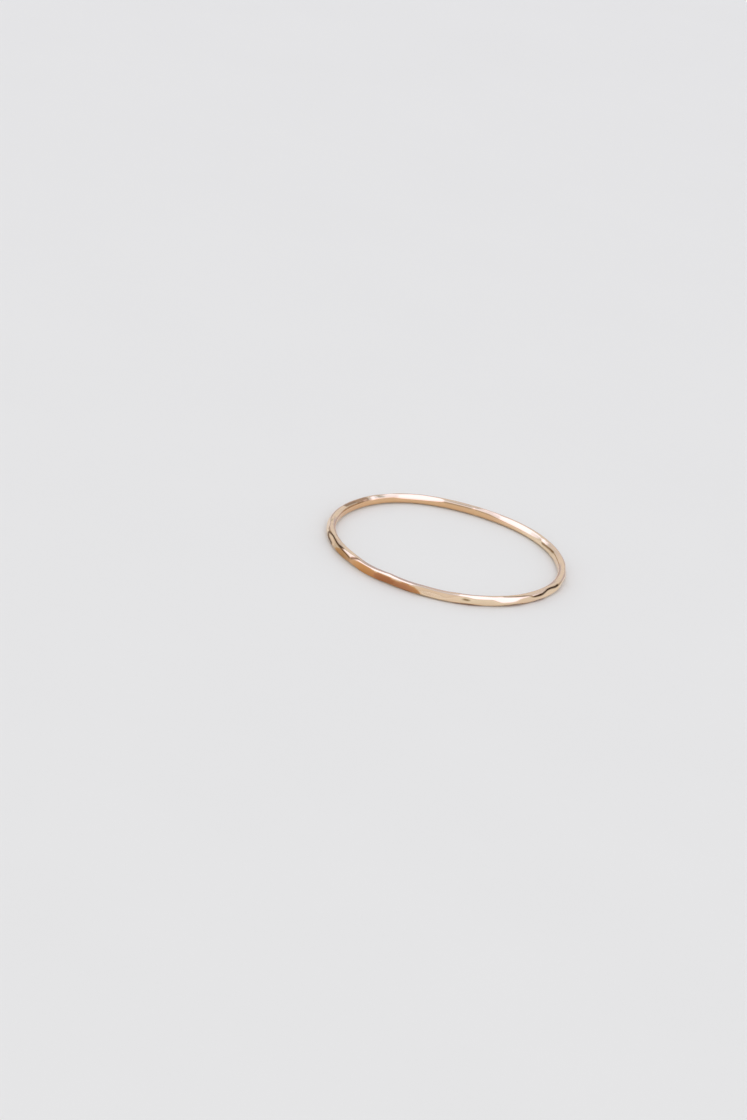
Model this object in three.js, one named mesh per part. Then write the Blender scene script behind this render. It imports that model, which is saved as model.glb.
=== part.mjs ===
// Stackable ring: one closed loop of round gold wire, soldered shut and hammered all round on a mandrel.
// Millimetres and degrees. +Z is the ring's axis, pointing up, and -Y is its front.
// The origin is on the surface that the ring lies on, in the middle of its finger hole.
import * as THREE from 'three';
import { mergeVertices } from 'three/addons/utils/BufferGeometryUtils.js';

// Driving dimensions
const insideDiameter = 17.39; // the finger hole, US size 7
const wireDiameter = 0.75; // round wire, before it is hammered
const mandrelDepth = 0.045; // worked off the inside by the mandrel's straight wall
const benchDepth = 0.02; // worked off the top and the bottom on the bench block
const ringSteps = 160; // straight steps round the loop
const wireSides = 20; // sides of the wire's section

const wireRadius = wireDiameter / 2;
const loopRadius = insideDiameter / 2 - mandrelDepth + wireRadius; // to the middle of the wire

// Hammering leaves the loop a little out of round: how many lobes, how far they swell, where one points
const lobes = [
  { count: 3, swell: 0.03, towards: 9 },
  { count: 4, swell: 0.055, towards: 25 },
  { count: 5, swell: 0.02, towards: -25 },
  { count: 6, swell: 0.02, towards: -9 },
];
// One hard blow drives the band outwards: where, how far, and over how many degrees
const bulge = { around: 232, swell: 0.085, spread: 9 };
// The metal moved by the front blows makes the band taller there
const rise = { around: 238, lift: 0.12, spread: 50 };

// Hammer marks, each a flat: the middle of the mark round the loop, counted from +X towards +Y,
// how far it faces up (+) or down (-) from straight outwards, and how deep it is struck
const frontMarks = [
  { around: 183, slant: 38, depth: 0.05 },
  { around: 200.5, slant: 14, depth: 0.1 },
  { around: 216, slant: -8, depth: 0.1 },
  { around: 230.6, slant: -8, depth: 0.14 },
  { around: 242.5, slant: -8, depth: 0.101 },
  { around: 253.5, slant: -12, depth: 0.101 },
  { around: 267.5, slant: 12, depth: 0.1 },
  { around: 280.5, slant: 2, depth: 0.1 },
  { around: 291.5, slant: -6, depth: 0.105 },
  { around: 303.5, slant: 35, depth: 0.085 },
  { around: 317, slant: -2, depth: 0.095 },
  { around: 333.3, slant: 12, depth: 0.11 },
  { around: 350, slant: -5, depth: 0.08 },
];
const shoulderMarks = [
  { around: 147, slant: 71, depth: 0.03 },
  { around: 127, slant: 60, depth: 0.03 },
  { around: 209, slant: 62, depth: 0.025 },
  { around: 220, slant: 54, depth: 0.04 },
  { around: 290, slant: 58, depth: 0.03 },
];
const backMarks = { count: 13, first: 5, last: 168, slantSpread: 22, depth: 0.095, depthSpread: 0.03 };
const lowerMarks = { count: 17, slant: -56, slantSpread: 8, depth: 0.03, depthSpread: 0.015 };

const radians = THREE.MathUtils.degToRad;

// The same spread of values on every run, each from -1 to 1
let draw = 7;
function spread() {
  draw = (draw * 16807) % 2147483647;
  return (2 * draw) / 2147483647 - 1;
}

function backRow({ count, first, last, slantSpread, depth, depthSpread }) {
  const pitch = (last - first) / (count - 1);
  return Array.from({ length: count }, (_, mark) => ({
    around: first + mark * pitch + 0.15 * pitch * spread(),
    slant: slantSpread * spread(),
    depth: depth + depthSpread * spread(),
  }));
}

function lowerRow({ count, slant, slantSpread, depth, depthSpread }) {
  const pitch = 360 / count;
  return Array.from({ length: count }, (_, mark) => ({
    around: (mark + 0.5) * pitch + 0.2 * pitch * spread(),
    slant: slant + slantSpread * spread(),
    depth: depth + depthSpread * spread(),
  }));
}

// Moves every point that stands past a plane straight back onto it
function flatten(points, normal, height) {
  const point = new THREE.Vector3();
  for (let i = 0; i < points.count; i += 1) {
    point.fromBufferAttribute(points, i);
    const past = point.dot(normal) - height;
    if (past > 0) {
      point.addScaledVector(normal, -past);
      points.setXYZ(i, point.x, point.y, point.z);
    }
  }
}

// One hammer blow, square on to the wire
function strike(points, { around, slant, depth }) {
  const turn = radians(around);
  const tilt = radians(slant);
  const outwards = Math.cos(tilt);
  const normal = new THREE.Vector3(Math.cos(turn) * outwards, Math.sin(turn) * outwards, Math.sin(tilt));
  flatten(points, normal, loopRadius * outwards + wireRadius - depth);
}

// Presses the inside out to the mandrel's round wall
function roundMandrel(points) {
  for (let i = 0; i < points.count; i += 1) {
    const grow = insideDiameter / 2 / Math.hypot(points.getX(i), points.getY(i));
    if (grow > 1) points.setXY(i, points.getX(i) * grow, points.getY(i) * grow);
  }
}

// How much of a local change reaches a place round the loop, from 0 to 1
function share(turn, { around, spread }) {
  return Math.exp(-(((turn - around) / spread) ** 2));
}

// Draws the loop slightly out of round, and its front slightly taller
function swell(points) {
  for (let i = 0; i < points.count; i += 1) {
    const x = points.getX(i);
    const y = points.getY(i);
    const turn = (THREE.MathUtils.radToDeg(Math.atan2(y, x)) + 360) % 360;
    const blow = bulge.swell * share(turn, bulge);
    const outwards = lobes.reduce(
      (sum, lobe) => sum + lobe.swell * Math.cos(radians(lobe.count * (turn - lobe.towards))), blow);
    const grow = 1 + outwards / loopRadius;
    points.setXY(i, x * grow, y * grow);
    const z = points.getZ(i);
    const taller = 1 + (rise.lift * share(turn, rise)) / (wireRadius - benchDepth);
    if (z > 0) points.setZ(i, z * taller);
  }
}

function hammeredBand() {
  const torus = new THREE.TorusGeometry(loopRadius, wireRadius, wireSides, ringSteps);
  torus.deleteAttribute('normal');
  torus.deleteAttribute('uv');
  const band = mergeVertices(torus, 1e-4);
  const points = band.getAttribute('position');

  const marks = [...frontMarks, ...backRow(backMarks), ...shoulderMarks, ...lowerRow(lowerMarks)];
  marks.forEach((mark) => strike(points, mark));
  roundMandrel(points);
  const up = new THREE.Vector3(0, 0, 1);
  flatten(points, up, wireRadius - benchDepth);
  flatten(points, up.clone().negate(), wireRadius - benchDepth);
  swell(points);

  // stands on its lower flat, centred on the finger hole
  band.computeBoundingBox();
  const { min, max } = band.boundingBox;
  band.translate(-(min.x + max.x) / 2, -(min.y + max.y) / 2, -min.z);
  band.computeVertexNormals();
  return band;
}

const gold = new THREE.MeshStandardMaterial({ color: 0xe3bd92, roughness: 0.16, metalness: 1 });
const ringBand = new THREE.Mesh(hammeredBand(), gold);
ringBand.name = 'ring_band';

const ring = new THREE.Group();
ring.add(ringBand);

export default ring;
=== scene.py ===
# Hammered gold stacking ring, lying on a pale table top
import math

import bmesh
import bpy
from mathutils import Matrix, Vector


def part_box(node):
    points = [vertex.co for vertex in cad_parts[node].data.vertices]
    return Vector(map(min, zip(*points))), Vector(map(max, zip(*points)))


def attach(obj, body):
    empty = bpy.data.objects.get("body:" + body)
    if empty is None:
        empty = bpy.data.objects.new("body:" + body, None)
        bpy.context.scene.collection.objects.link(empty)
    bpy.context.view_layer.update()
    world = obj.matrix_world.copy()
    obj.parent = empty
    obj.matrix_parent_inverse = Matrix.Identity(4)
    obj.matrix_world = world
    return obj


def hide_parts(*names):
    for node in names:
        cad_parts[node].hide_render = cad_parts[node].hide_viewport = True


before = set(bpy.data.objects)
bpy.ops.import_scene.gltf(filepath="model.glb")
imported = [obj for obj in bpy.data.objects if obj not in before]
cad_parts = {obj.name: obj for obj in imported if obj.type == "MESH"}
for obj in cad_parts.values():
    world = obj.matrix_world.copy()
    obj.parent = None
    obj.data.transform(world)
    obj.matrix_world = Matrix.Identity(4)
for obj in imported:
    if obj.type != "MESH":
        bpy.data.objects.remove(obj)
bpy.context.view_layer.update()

mm = 0.001  # the ring is modelled in millimetres, then brought down to metres
print("Frame loaded:", sorted(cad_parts))


def clip(value):
    return min(1.0, max(0.0, value))


def deselectAll():
    if bpy.context.mode != "OBJECT":
        bpy.ops.object.mode_set(mode="OBJECT")
    bpy.ops.object.select_all(action="DESELECT")


def applyModifier(piece, kind, settings):
    added = piece.modifiers.new(kind.title(), kind)
    for name, value in settings.items():
        setattr(added, name, value)
    deselectAll()
    bpy.context.view_layer.objects.active = piece
    piece.select_set(True)
    bpy.ops.object.modifier_apply(modifier=added.name)


# the camera stands in front of the ring, a little above it and rolled to one side
cameraPlace = {
    "elevation": 23.1,  # degrees above the table
    "roll": 12.2,  # degrees, the ring's right side drops
    "distance": 0.3007,  # metres, to the ring's middle
    "lens": 126.0,  # millimetres
    "aimLeft": 0.00563,  # metres, how far the aim passes left of the ring's middle
    "aimDown": 0.000915,
}


def addCamera(place, middle):
    tilt = math.radians(place["elevation"])
    roll = math.radians(place["roll"])
    forward = Vector((0, math.cos(tilt), -math.sin(tilt)))
    level = Vector((1, 0, 0))
    rise = level.cross(forward)
    right = level * math.cos(roll) + rise * math.sin(roll)
    up = rise * math.cos(roll) - level * math.sin(roll)
    aim = middle - right * place["aimLeft"] - up * place["aimDown"]
    stand = aim - forward * place["distance"]

    data = bpy.data.cameras.new("camera")
    data.lens = place["lens"]
    data.clip_start, data.clip_end = 0.01, 5.0
    camera = bpy.data.objects.new("camera", data)
    bpy.context.scene.collection.objects.link(camera)
    axes = Matrix((right, up, -forward)).transposed().to_4x4()
    camera.matrix_world = Matrix.Translation(stand) @ axes
    bpy.context.scene.camera = camera
    return camera


boxLow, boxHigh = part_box("ring_band")
ringMiddle = (boxLow + boxHigh) / 2
addCamera(cameraPlace, ringMiddle)
print("Camera placed")


# the ring: round wire bent into a loop, then hammered
ringShape = {
    "insideDiameter": 17.39,
    "wireDiameter": 0.75,
    "benchDepth": 0.02,  # worked off the top and the bottom
    "stations": 480,  # steps round the loop
    "sides": 48,  # of the wire's section
    "markReach": 16,  # degrees to either side that a blow can touch
    "edgeFade": 0.6,  # how gently the long flats run out at their ends: less is more sudden
    "mandrelSlant": 178,
    "mandrelDepth": 0.045,
    "reflectionEdge": 0.06,  # mm over which a painted dark reflection fades
    "reflectionReach": 3,  # degrees past a painted dark reflection's ends that it can touch
    "softenPasses": 3,  # how much polishing rounds the edges of the marks
    "blendPasses": 1,  # how much the colours of neighbouring marks run together
    "wave": 0.02,  # unevenness of the worked surface
    "waveLength": 0.9,
}
ringShape["wireRadius"] = ringShape["wireDiameter"] / 2
wireInside = ringShape["insideDiameter"] / 2 - ringShape["mandrelDepth"]  # before the mandrel's work
ringShape["loopRadius"] = wireInside + ringShape["wireRadius"]  # to the middle of the wire

# painted deeper reflection on the inside of the band
insideReflection = {
    "tone": 0.26,
    "towards": 118,  # degrees round the loop, where it is deepest
    "fromInwards": 0.6,  # it starts this far in from the middle of the wire, in wire radii,
    "overInwards": 0.3,  # and is full after this much more
    "fromTurn": 0.3,  # the same round the loop, as the cosine of the angle from the deepest place
    "overTurn": 0.4,
}

# how the loop is a little out of round: lobes, how far they swell, where one points
ringLobes = [
    {"count": 3, "swell": 0.03, "towards": 9},
    {"count": 4, "swell": 0.055, "towards": 25},
    {"count": 5, "swell": 0.02, "towards": -25},
    {"count": 6, "swell": 0.02, "towards": -9},
]
# one hard blow drives the band outwards, and the metal moved by the front blows makes it taller:
# where, how far, and over how many degrees
ringBulge = {"around": 232, "swell": 0.085, "spread": 9}
ringRise = {"around": 238, "lift": 0.12, "spread": 50}

# hammer marks: the middle of the mark round the loop, how far it faces up, how deep it is,
# and how deep the painted warm reflection of neighbouring gold is at its two ends
frontMarks = [
    {"around": 183, "slant": 38, "depth": 0.05, "tone": (0.0, 0.05)},
    {"around": 200.5, "slant": 14, "depth": 0.1, "tone": (0.05, 0.15)},
    {"around": 216, "slant": -8, "depth": 0.1, "tone": (0.42, 0.3)},
    {"around": 230.6, "slant": -8, "depth": 0.14, "tone": (0.28, 0.58)},
    {"around": 242.5, "slant": -8, "depth": 0.101, "tone": (0.8, 1.0)},
    {"around": 253.5, "slant": -12, "depth": 0.101, "tone": (0.86, 0.6)},
    {"around": 267.5, "slant": 12, "depth": 0.1, "tone": (0.05, 0.0)},
    {"around": 280.5, "slant": 2, "depth": 0.1, "tone": (0.05, 0.0)},
    {"around": 291.5, "slant": -6, "depth": 0.105, "tone": (0.0, 0.0)},
    {"around": 303.5, "slant": 35, "depth": 0.085, "tone": (0.0, 0.0)},
    {"around": 317, "slant": -2, "depth": 0.095, "tone": (0.05, 0.0)},
    {"around": 333.3, "slant": 12, "depth": 0.11, "tone": (0.0, 0.05)},
    {"around": 350, "slant": -5, "depth": 0.08, "tone": (0.0, 0.1)},
]
shoulderMarks = [
    {"around": 147, "slant": 71, "depth": 0.03, "tone": (0.2, 0.2)},
    {"around": 127, "slant": 60, "depth": 0.03, "tone": (0.0, 0.1)},
    {"around": 209, "slant": 62, "depth": 0.025, "tone": (0.1, 0.0)},
    {"around": 220, "slant": 54, "depth": 0.04, "tone": (0.0, 0.1)},
    {"around": 290, "slant": 58, "depth": 0.03, "tone": (0.0, 0.0)},
]
# long shallow flats along the top and its edges: where each starts and ends, and how far
# it faces up at its two ends (past 90 it faces inwards)
edgeMarks = [
    {"start": 4, "end": 24, "slants": (106, 108), "depth": 0.05},
    {"start": 22, "end": 36, "slants": (116, 120), "depth": 0.05},
    {"start": 36, "end": 71, "slants": (142, 144), "depth": 0.095},
    {"start": 62, "end": 79, "slants": (108, 100), "depth": 0.06},
    {"start": 74, "end": 98, "slants": (98, 95), "depth": 0.075},
    {"start": 95, "end": 123, "slants": (138, 138), "depth": 0.11},
    {"start": 118, "end": 134, "slants": (112, 110), "depth": 0.065},
    {"start": 132, "end": 140, "slants": (118, 116), "depth": 0.055},
    {"start": 139, "end": 160, "slants": (98, 90), "depth": 0.05},
    {"start": 164, "end": 183, "slants": (104, 108), "depth": 0.04},
    {"start": 206, "end": 225, "slants": (86, 86), "depth": 0.07},
    {"start": 219, "end": 247, "slants": (95, 95), "depth": 0.1},
    {"start": 242, "end": 268, "slants": (95, 95), "depth": 0.1},
    {"start": 257, "end": 280, "slants": (28, 28), "depth": 0.085},
    {"start": 256, "end": 281, "slants": (95, 91), "depth": 0.1},
    {"start": 274, "end": 292, "slants": (97, 100), "depth": 0.035},
    {"start": 299, "end": 333, "slants": (88, 84), "depth": 0.09},
    {"start": 335, "end": 352, "slants": (102, 96), "depth": 0.03},
]
# painted dark reflections and dimmed highlights along the creases between the marks: points (around,
# slant), half width in mm, how dark
paintedReflectionTraces = [
    {"path": [(21.5, 146), (34, 166)], "halfWidth": 0.09, "dark": 0.62},
    {"path": [(36, 140), (44, 140)], "halfWidth": 0.12, "dark": 0.14},
    {"path": [(66, 140), (78, 130)], "halfWidth": 0.16, "dark": 0.2},
    {"path": [(81, 136), (95, 136)], "halfWidth": 0.14, "dark": 0.28},
    {"path": [(121, 126), (128, 122)], "halfWidth": 0.17, "dark": 0.16},
    {"path": [(129, 120), (134, 114)], "halfWidth": 0.15, "dark": 0.26},
    {"path": [(140.5, 112), (148, 110)], "halfWidth": 0.2, "dark": 0.48},
    {"path": [(149.5, 103), (158.5, 95)], "halfWidth": 0.14, "dark": 0.64},
    {"path": [(180, 84), (182.5, 78)], "halfWidth": 0.03, "dark": 0.4},
    {"path": [(193.2, 16), (193.4, 32), (197.2, 50), (200.4, 58), (204.7, 50), (209, 46), (211.7, 53),
              (213.5, 58)], "halfWidth": 0.055, "dark": 1.0},
    {"path": [(193.2, 16), (196.5, -9), (202, -16)], "halfWidth": 0.09, "dark": 0.85},
    {"path": [(209, 45), (212.6, 38), (216.9, 30), (220.5, 18)], "halfWidth": 0.05, "dark": 0.95},
    {"path": [(222, 30), (224, 50), (226, 72)], "halfWidth": 0.09, "dark": 0.76},
    {"path": [(207, 6), (219, 2)], "halfWidth": 0.3, "dark": 0.14},
    {"path": [(257, 60), (279, 60)], "halfWidth": 0.06, "dark": 0.3},
    {"path": [(281.6, 15), (284, 11)], "halfWidth": 0.055, "dark": 0.8},
    {"path": [(302, 84), (307, 82), (314.6, 72), (317.6, 50), (319.5, 26)],
     "halfWidth": 0.05, "dark": 0.85},
    {"path": [(320.5, 27), (327, 28)], "halfWidth": 0.08, "dark": 1.0},
    {"path": [(327, 30), (328.5, 38), (331.4, 56), (334, 56), (338.7, 38), (341.3, 42)],
     "halfWidth": 0.09, "dark": 1.0},
]
# rows of marks at the back and along the lower shoulder: even, with a spread in each value
backMarks = {
    "count": 13, "first": 5, "last": 168, "shift": 0.15,
    "slantSpread": 22, "depth": 0.095, "depthSpread": 0.03}
lowerMarks = {
    "count": 17, "shift": 0.2, "slant": -56, "slantSpread": 8, "depth": 0.03, "depthSpread": 0.015}
rowTones = {"deepest": 0.8, "drift": 0.1}


class Spread:
    # the same run of values on every run, each from -1 to 1
    factor, limit = 16807, 2147483647  # the plain generator that many libraries use

    def __init__(self, start):
        self.draw = start

    def next(self):
        self.draw = self.draw * self.factor % self.limit
        return 2 * self.draw / self.limit - 1


def backRow(row, spread):
    pitch = (row["last"] - row["first"]) / (row["count"] - 1)
    marks = []
    for mark in range(row["count"]):
        marks.append({
            "around": row["first"] + mark * pitch + row["shift"] * pitch * spread.next(),
            "slant": row["slantSpread"] * spread.next(),
            "depth": row["depth"] + row["depthSpread"] * spread.next(),
        })
    return marks


def lowerRow(row, spread):
    pitch = 360 / row["count"]
    marks = []
    for mark in range(row["count"]):
        marks.append({
            "around": (mark + 0.5) * pitch + row["shift"] * pitch * spread.next(),
            "slant": row["slant"] + row["slantSpread"] * spread.next(),
            "depth": row["depth"] + row["depthSpread"] * spread.next(),
        })
    return marks


def addTones(marks, tones, spread):
    for mark in marks:
        deep = tones["deepest"] * max(0.0, spread.next()) ** 2  # most marks stay pale, a few are deep
        mark["tone"] = (deep, deep + tones["drift"] * spread.next())
    return marks


def bendWire(shape):
    deselectAll()
    bpy.ops.mesh.primitive_circle_add(
        vertices=shape["sides"], radius=shape["wireRadius"],
        location=(shape["loopRadius"], 0, 0), rotation=(math.pi / 2, 0, 0))
    band = bpy.context.object
    band.name = "hammered_band"
    bpy.ops.object.transform_apply(location=True, rotation=True, scale=True)
    bpy.ops.object.mode_set(mode="EDIT")
    bpy.ops.mesh.select_all(action="SELECT")
    bpy.ops.mesh.spin(
        steps=shape["stations"], angle=2 * math.pi, center=(0, 0, 0), axis=(0, 0, 1))
    bpy.ops.mesh.select_all(action="SELECT")
    bpy.ops.mesh.remove_doubles(threshold=0.001)
    bpy.ops.mesh.normals_make_consistent(inside=False)
    bpy.ops.mesh.select_mode(type="VERT")
    return band


def flatten(points, chosen, normal, height):
    # brings every chosen point that stands past a plane back onto it, as one blow does
    bpy.ops.mesh.select_all(action="DESELECT")
    past = [point for point in chosen if point.co.dot(normal) > height]
    for point in past:
        point.select = True
    points.select_flush_mode()
    if past:
        side = normal.orthogonal().normalized()
        axes = Matrix((side, normal.cross(side), normal)).transposed()
        bpy.ops.transform.resize(
            value=(1, 1, 0), orient_type="GLOBAL", orient_matrix=axes,
            orient_matrix_type="GLOBAL", center_override=normal * height)
    return past


def facing(around, slant):
    turn, tilt = math.radians(around), math.radians(slant)
    return Vector((math.cos(turn) * math.cos(tilt), math.sin(turn) * math.cos(tilt), math.sin(tilt)))


def standing(shape, slant, depth):
    # how far out the plane of a mark lies along its own normal
    return shape["loopRadius"] * math.cos(math.radians(slant)) + shape["wireRadius"] - depth


def stretch(columns, start, end):
    # all the points of the stations between two places round the loop
    perDegree = len(columns) / 360
    stations = range(math.ceil(start * perDegree), math.floor(end * perDegree) + 1)
    return [point for station in stations for point in columns[station % len(columns)]]


def strike(points, columns, toneAndReflectionLayer, mark, shape):
    normal = facing(mark["around"], mark["slant"])
    along = Vector((-normal.y, normal.x, 0)).normalized()
    chosen = stretch(columns, mark["around"] - shape["markReach"], mark["around"] + shape["markReach"])
    past = flatten(points, chosen, normal, standing(shape, mark["slant"], mark["depth"]))
    if not past:
        return
    reach = max(abs(point.co.dot(along)) for point in past)
    fromTone, toTone = mark["tone"]
    for point in past:
        share = 0.5 + 0.5 * point.co.dot(along) / reach
        point[toneAndReflectionLayer] = fromTone + (toTone - fromTone) * share


def workEdge(points, columns, mark, shape):
    # one light tap at each station, deepest halfway along
    perDegree = len(columns) / 360
    first, last = round(mark["start"] * perDegree), round(mark["end"] * perDegree)
    for station in range(first, last + 1):
        share = (station - first) / (last - first)
        slant = mark["slants"][0] * (1 - share) + mark["slants"][1] * share
        depth = mark["depth"] * math.sin(math.pi * share) ** shape["edgeFade"]
        normal = facing(station / perDegree, slant)
        flatten(points, columns[station % len(columns)], normal, standing(shape, slant, depth))


def roundMandrel(points, columns, shape):
    # the inside takes the straight wall of the mandrel that the ring is struck on
    for station, column in enumerate(columns):
        normal = facing(station * 360 / len(columns), shape["mandrelSlant"])
        flatten(points, column, normal, standing(shape, shape["mandrelSlant"], shape["mandrelDepth"]))


def traceGap(place, start, end, shape):
    # how far a place on the wire lies from a straight trace, in millimetres along the surface
    mmPerDegree = Vector((math.radians(shape["loopRadius"]), math.radians(shape["wireRadius"])))
    toPlace = (Vector(place) - Vector(start)) * mmPerDegree
    toEnd = (Vector(end) - Vector(start)) * mmPerDegree
    share = clip(toPlace.dot(toEnd) / toEnd.length_squared)
    return (toPlace - toEnd * share).length


# paints a dark reflection or a dimmed highlight into the dark attribute along one trace
def paintedReflection(places, columns, darkLayer, trace, shape):
    turns = [around for around, slant in trace["path"]]
    for point in stretch(columns, min(turns) - shape["reflectionReach"], max(turns) + shape["reflectionReach"]):
        gap = min(
            traceGap(places[point.index], start, end, shape)
            for start, end in zip(trace["path"], trace["path"][1:]))
        share = clip((trace["halfWidth"] - gap) / shape["reflectionEdge"] + 0.5)
        point[darkLayer] = max(point[darkLayer], trace["dark"] * share)


def runTogether(points, layer, passes):
    # each point takes half of its value from its neighbours
    for turn in range(passes):
        means = [
            sum(edge.other_vert(point)[layer] for edge in point.link_edges) / len(point.link_edges)
            for point in points.verts]
        for point, mean in zip(points.verts, means):
            point[layer] = (point[layer] + mean) / 2


def placeOf(point, loopRadius):
    # (around, slant) of a point of the wire before it is struck
    around = math.degrees(math.atan2(point.co.y, point.co.x)) % 360
    slant = math.degrees(math.atan2(point.co.z, math.hypot(point.co.x, point.co.y) - loopRadius))
    return (around, slant + 360 if slant < -90 else slant)


def nearness(turn, change):
    # how much of a local change reaches a place round the loop, from 0 to 1
    return math.exp(-((turn - change["around"]) / change["spread"]) ** 2)


def swell(points, lobes, bulge, rise, shape):
    loopRadius, top = shape["loopRadius"], shape["wireRadius"] - shape["benchDepth"]
    for point in points.verts:
        turn = math.degrees(math.atan2(point.co.y, point.co.x)) % 360
        outwards = sum(
            lobe["swell"] * math.cos(math.radians(lobe["count"] * (turn - lobe["towards"])))
            for lobe in lobes)
        outwards += bulge["swell"] * nearness(turn, bulge)
        grow = 1 + outwards / loopRadius
        point.co.x *= grow
        point.co.y *= grow
        if point.co.z > 0:
            point.co.z *= 1 + rise["lift"] * nearness(turn, rise) / top


def paintInsideReflection(points, toneAndReflectionLayer, inside, shape):
    # paints a deeper reflection on the inside face, strongest round one place at the back
    for point in points.verts:
        turn = math.atan2(point.co.y, point.co.x) - math.radians(inside["towards"])
        inwards = (shape["loopRadius"] - math.hypot(point.co.x, point.co.y)) / shape["wireRadius"]
        share = clip((inwards - inside["fromInwards"]) / inside["overInwards"])
        share *= clip((math.cos(turn) - inside["fromTurn"]) / inside["overTurn"])
        point[toneAndReflectionLayer] = max(point[toneAndReflectionLayer], inside["tone"] * share)


def hammerRing(shape):
    band = bendWire(shape)
    points = bmesh.from_edit_mesh(band.data)
    # tone holds painted warm reflections on the marks and inside, and the metal's own deeper tone on a
    # few back marks
    toneAndReflectionLayer = points.verts.layers.float.new("tone")
    darkLayer = points.verts.layers.float.new("dark")
    points.verts.index_update()
    places = [placeOf(point, shape["loopRadius"]) for point in points.verts]
    columns = [[] for station in range(shape["stations"])]
    for point, (around, slant) in zip(points.verts, places):
        columns[round(around * shape["stations"] / 360) % shape["stations"]].append(point)

    spread = Spread(7)
    back = backRow(backMarks, spread)
    lower = lowerRow(lowerMarks, spread)
    marks = frontMarks + addTones(back, rowTones, spread)
    marks += shoulderMarks + addTones(lower, rowTones, spread)
    for mark in marks:
        strike(points, columns, toneAndReflectionLayer, mark, shape)
    roundMandrel(points, columns, shape)
    for mark in edgeMarks:
        workEdge(points, columns, mark, shape)
    for side in (1, -1):
        flatten(points, points.verts, Vector((0, 0, side)), shape["wireRadius"] - shape["benchDepth"])
    paintInsideReflection(points, toneAndReflectionLayer, insideReflection, shape)
    for trace in paintedReflectionTraces:
        paintedReflection(places, columns, darkLayer, trace, shape)
    for layer in (toneAndReflectionLayer, darkLayer):
        runTogether(points, layer, shape["blendPasses"])
    swell(points, ringLobes, ringBulge, ringRise, shape)
    bmesh.update_edit_mesh(band.data)
    bpy.ops.object.mode_set(mode="OBJECT")
    print("Struck", len(marks) + len(edgeMarks), "marks")

    applyModifier(band, "SMOOTH", {"factor": 0.5, "iterations": shape["softenPasses"]})
    applyModifier(band, "SUBSURF", {"levels": 1, "render_levels": 1})
    wave = bpy.data.textures.new("handWork", "CLOUDS")
    wave.noise_scale = shape["waveLength"]
    wave.noise_depth = 1
    applyModifier(band, "DISPLACE", {
        "texture": wave, "texture_coords": "LOCAL", "strength": shape["wave"], "mid_level": 0.5})
    bpy.ops.object.shade_smooth()
    return band


def settle(piece, low, high):
    # down to metres, centred over the CAD band and standing on the table
    piece.scale = (mm, mm, mm)
    bpy.ops.object.transform_apply(location=False, rotation=False, scale=True)
    corners = [Vector(corner) for corner in piece.bound_box]
    least = Vector([min(corner[axis] for corner in corners) for axis in range(3)])
    most = Vector([max(corner[axis] for corner in corners) for axis in range(3)])
    middle = (least + most) / 2
    piece.location = ((low.x + high.x) / 2 - middle.x, (low.y + high.y) / 2 - middle.y, low.z - least.z)
    bpy.ops.object.transform_apply(location=True, rotation=False, scale=False)


hammeredBand = hammerRing(ringShape)
settle(hammeredBand, boxLow, boxHigh)
print("Ring modelled:", len(hammeredBand.data.polygons), "faces")


# shader maths
class Wire:
    # one socket: sums and products of wires add their own Math nodes
    def __init__(self, tree, socket):
        self.tree, self.socket = tree, socket

    def join(self, operation, first, second=None, third=None):
        made = self.tree.nodes.new("ShaderNodeMath")
        made.operation = operation
        for place, value in enumerate((first, second, third)):
            if isinstance(value, Wire):
                self.tree.links.new(value.socket, made.inputs[place])
            elif value is not None:
                made.inputs[place].default_value = value
        return Wire(self.tree, made.outputs[0])

    def __add__(self, other):
        return self.join("ADD", self, other)

    __radd__ = __add__

    def __sub__(self, other):
        return self.join("SUBTRACT", self, other)

    def __rsub__(self, other):
        return self.join("SUBTRACT", other, self)

    def __mul__(self, other):
        return self.join("MULTIPLY", self, other)

    __rmul__ = __mul__

    def __truediv__(self, other):
        return self.join("DIVIDE", self, other)

    def __pow__(self, other):
        return self.join("POWER", self, other)

    def clipped(self):
        return self.join("MINIMUM", self.join("MAXIMUM", self, 0.0), 1.0)


class Board:
    # the nodes of one material or world
    def __init__(self, tree):
        self.tree = tree
        tree.nodes.clear()

    def node(self, kind, settings=None, sockets=None):
        made = self.tree.nodes.new(kind)
        for name, value in (settings or {}).items():
            if name == "stops":
                self.setStops(made.color_ramp, value)
            else:
                setattr(made, name, value)
        for place, value in (sockets or {}).items():
            if isinstance(value, Wire):
                self.tree.links.new(value.socket, made.inputs[place])
            else:
                made.inputs[place].default_value = value
        return made

    def wire(self, kind, output, settings=None, sockets=None):
        return Wire(self.tree, self.node(kind, settings, sockets).outputs[output])

    def setStops(self, ramp, stops):
        while len(ramp.elements) < len(stops):
            ramp.elements.new(0.5)
        for element, (place, colour) in zip(ramp.elements, stops):
            element.position = place
            element.color = (*colour, 1)

    def ramp(self, value, stops):
        return self.wire("ShaderNodeValToRGB", "Color", {"stops": stops}, {"Fac": value})

    def split(self, vector):
        parts = self.node("ShaderNodeSeparateXYZ", None, {"Vector": vector})
        return [Wire(self.tree, part) for part in parts.outputs]

    def mixColour(self, share, first, second, blend="MIX"):
        colours = {0: share}
        for place, colour in ((6, first), (7, second)):
            colours[place] = colour if isinstance(colour, Wire) else (*colour, 1)
        return self.wire("ShaderNodeMix", 2, {"data_type": "RGBA", "blend_type": blend}, colours)


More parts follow.
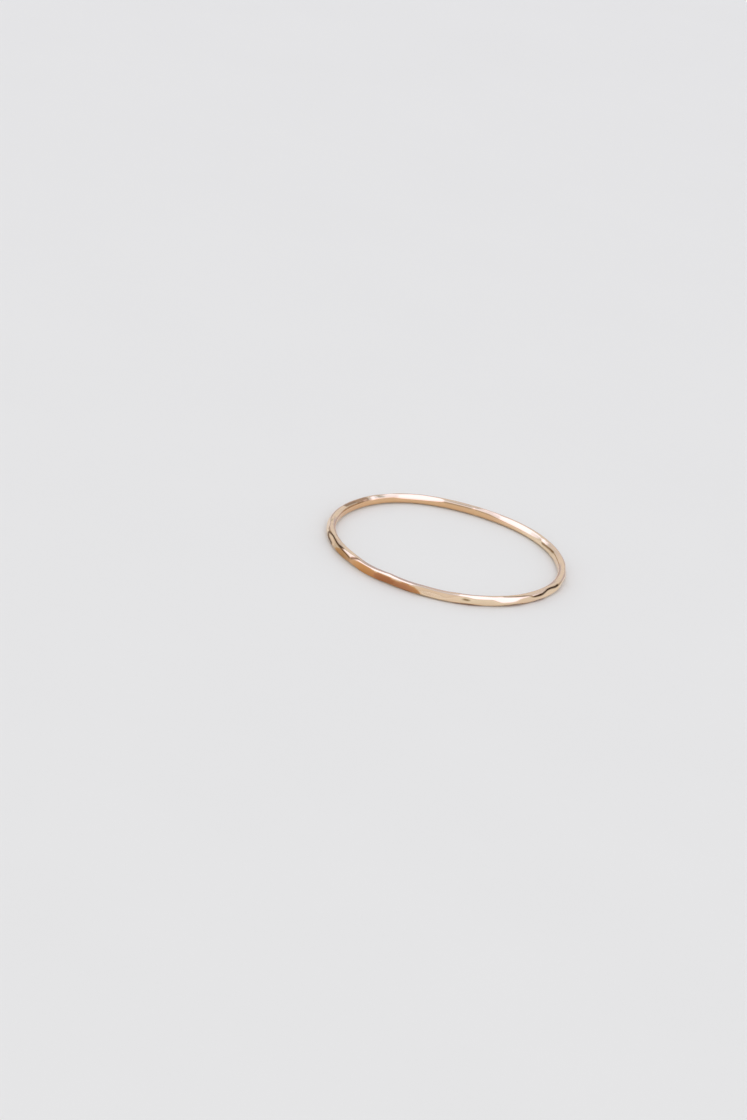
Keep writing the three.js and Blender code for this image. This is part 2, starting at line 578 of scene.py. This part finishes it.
# polished gold
goldFinish = {
    # the metal's own colour is pale; golden, orange and deep paint warm reflections on marks and inside,
    # and the deeper own tone of a few marks
    "pale": (0.985, 0.785, 0.565),
    "golden": (0.74, 0.38, 0.14),
    "orange": (0.62, 0.30, 0.15),
    "deep": (0.49, 0.20, 0.085),
    # painted dark reflections and dimmed highlights, from faint to full
    "dull": (0.66, 0.70, 0.67),
    "brown": (0.53, 0.42, 0.32),
    "paintedReflection": (0.06, 0.045, 0.035),
    # slow changes of hue
    "olive": (0.97, 1.0, 0.95),
    "rosy": (1.0, 0.95, 0.96),
    "tintScale": 380,
    "drift": 0.35,
    "driftScale": 700,
    "roughness": 0.1,
    "hazeRoughness": 0.16,
    "hazeScale": 900,
    # polishing lines, pits and low waves
    "lineStretch": 0.03,
    "lineScale": 14000.0,
    "lineHeight": 0.25,
    "pitScale": 5200,
    "pitHeight": 0.3,
    "waveScale": 1500,
    "waveHeight": 1.6,
    "bumpStrength": 0.22,
    "bumpDistance": 0.00001,  # metres
}


def goldMaterial(finish):
    material = bpy.data.materials.new("gold")
    material.use_nodes = True
    board = Board(material.node_tree)
    place = board.wire("ShaderNodeTexCoord", "Object")
    tone = board.wire("ShaderNodeAttribute", "Fac", {"attribute_name": "tone"})

    def noise(scale, detail=2.0):
        return board.wire("ShaderNodeTexNoise", "Fac", None, {
            "Vector": place, "Scale": scale, "Detail": detail})

    # painted warm reflections on some marks and inside, and a deeper own tone on a few marks, with soft
    # cloudy drift
    drift = noise(finish["driftScale"], 3.0)
    depth = (tone + (drift - 0.5) * finish["drift"] * tone).clipped()
    colour = board.ramp(depth, [
        (0.0, finish["pale"]), (0.4, finish["golden"]), (0.72, finish["orange"]), (1.0, finish["deep"])])
    tint = board.mixColour(noise(finish["tintScale"]), finish["olive"], finish["rosy"])
    tinted = board.mixColour(1.0, colour, tint, "MULTIPLY")

    # painted dark reflections and dimmed highlights, taken from the dark attribute
    dark = board.wire("ShaderNodeAttribute", "Fac", {"attribute_name": "dark"})
    shade = board.ramp(dark, [
        (0.0, (1, 1, 1)), (0.25, finish["dull"]), (0.5, finish["brown"]), (0.88, finish["paintedReflection"])])
    withPaintedReflections = board.mixColour(1.0, tinted, shade, "MULTIPLY")

    # fine polishing lines that run along the wire: stretched by its distance from the axis
    x, y, z = board.split(place)
    reach = (x * x + y * y) ** 0.5
    along = board.wire("ShaderNodeCombineXYZ", 0, None, {
        0: x * finish["lineStretch"], 1: y * finish["lineStretch"], 2: z})
    lines = board.wire("ShaderNodeTexNoise", "Fac", {"noise_dimensions": "4D"}, {
        "Vector": along, "W": reach * finish["lineScale"], "Scale": finish["lineScale"], "Detail": 2.0})
    pits, waves = noise(finish["pitScale"]), noise(finish["waveScale"])
    height = lines * finish["lineHeight"] + pits * finish["pitHeight"] + waves * finish["waveHeight"]
    bump = board.wire("ShaderNodeBump", "Normal", None, {
        "Height": height, "Strength": finish["bumpStrength"], "Distance": finish["bumpDistance"]})
    haze = noise(finish["hazeScale"], 3.0)
    roughness = finish["roughness"] + (finish["hazeRoughness"] - finish["roughness"]) * haze

    gold = board.node("ShaderNodeBsdfPrincipled", None, {
        "Base Color": withPaintedReflections, "Metallic": 1.0, "Roughness": roughness, "Normal": bump})
    board.node("ShaderNodeOutputMaterial", None, {"Surface": Wire(board.tree, gold.outputs[0])})
    return material


hammeredBand.data.materials.clear()
hammeredBand.data.materials.append(goldMaterial(goldFinish))
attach(hammeredBand, "root")
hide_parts("ring_band")
print("Gold finished")


# the pale table top
tableTop = {
    "size": 6.0,  # metres across
    "colour": (0.80, 0.80, 0.802),
    "mottle": 0.012,
    "mottleScale": 60.0,
    "roughness": 0.55,
    "shine": 0.15,
}


def addTable(top):
    deselectAll()
    bpy.ops.mesh.primitive_plane_add(size=top["size"], location=(0, 0, 0))
    table = bpy.context.object
    table.name = "table_top"
    material = bpy.data.materials.new("table")
    material.use_nodes = True
    board = Board(material.node_tree)
    place = board.wire("ShaderNodeTexCoord", "Object")
    cloud = board.wire("ShaderNodeTexNoise", "Fac", None, {
        "Vector": place, "Scale": top["mottleScale"], "Detail": 4.0})
    low = [channel * (1 - top["mottle"]) for channel in top["colour"]]
    high = [channel * (1 + top["mottle"]) for channel in top["colour"]]
    colour = board.mixColour(cloud, low, high)
    surface = board.node("ShaderNodeBsdfPrincipled", None, {
        "Base Color": colour, "Roughness": top["roughness"], "Specular IOR Level": top["shine"]})
    board.node("ShaderNodeOutputMaterial", None, {"Surface": Wire(board.tree, surface.outputs[0])})
    table.data.materials.append(material)
    return table


addTable(tableTop)
print("Table laid")


# soft studio light: a pale dome, brightest overhead, with dark corners of the room low down
studio = {
    "backdrop": 0.76,
    "table": 0.98,  # the even light that reaches the table
    "dome": [  # sine of the height above the horizon, what the gold mirrors there
        (0.0, (0.66, 0.63, 0.65)), (0.39, (0.74, 0.71, 0.70)), (0.62, (0.60, 0.60, 0.70)),
        (1.0, (0.62, 0.64, 0.76))],
    "lamp": {"halfWidth": 0.95, "halfDepth": 0.68, "edge": 0.15},
    "lampLight": (1.3, 1.32, 1.8),
    "screens": [  # compass direction, half width, height, all in degrees, and what is mirrored
        {"towards": 90, "halfWidth": 45, "height": 18, "light": (0.5, 0.47, 0.56)},
        {"towards": 35, "halfWidth": 16, "height": 32, "light": (0.4, 0.34, 0.29)},
        {"towards": 132, "halfWidth": 12, "height": 30, "light": (0.4, 0.34, 0.29)},
    ],
    "screenEdge": 5.0,  # degrees over which a screen fades
}


def lightStudio(room):
    world = bpy.data.worlds.new("studio")
    bpy.context.scene.world = world
    world.use_nodes = True
    world.cycles.sampling_method = "NONE"
    board = Board(world.node_tree)
    direction = board.wire("ShaderNodeTexCoord", "Generated")
    x, y, z = board.split(direction)
    light = board.ramp(z, room["dome"])

    lamp = room["lamp"]
    sideways, forwards = x / lamp["halfWidth"], y / lamp["halfDepth"]
    reach = (sideways * sideways + forwards * forwards) ** 0.5
    inLamp = ((1 - reach) / lamp["edge"] + 0.5).clipped()
    light = board.mixColour(inLamp, light, room["lampLight"])

    height = z.join("ARCSINE", z) * (180 / math.pi)
    compass = y.join("ARCTAN2", y, x) * (180 / math.pi)
    for screen in room["screens"]:
        away = compass.join("ABSOLUTE", compass.join("WRAP", compass - screen["towards"], 180.0, -180.0))
        inWidth = ((screen["halfWidth"] - away) / room["screenEdge"] + 0.5).clipped()
        underTop = ((screen["height"] - height) / room["screenEdge"] + 0.5).clipped()
        light = board.mixColour(inWidth * underTop, light, screen["light"])

    rays = board.node("ShaderNodeLightPath")
    onTable, inView = (Wire(board.tree, rays.outputs[ray]) for ray in ("Is Diffuse Ray", "Is Camera Ray"))
    light = board.mixColour(onTable, light, (room["table"],) * 3)
    light = board.mixColour(inView, light, (room["backdrop"],) * 3)
    background = board.node("ShaderNodeBackground", None, {"Color": light, "Strength": 1.0})
    board.node("ShaderNodeOutputWorld", None, {"Surface": Wire(board.tree, background.outputs[0])})


lightStudio(studio)
bpy.context.scene.view_settings.view_transform = "Standard"
print("Studio lit")
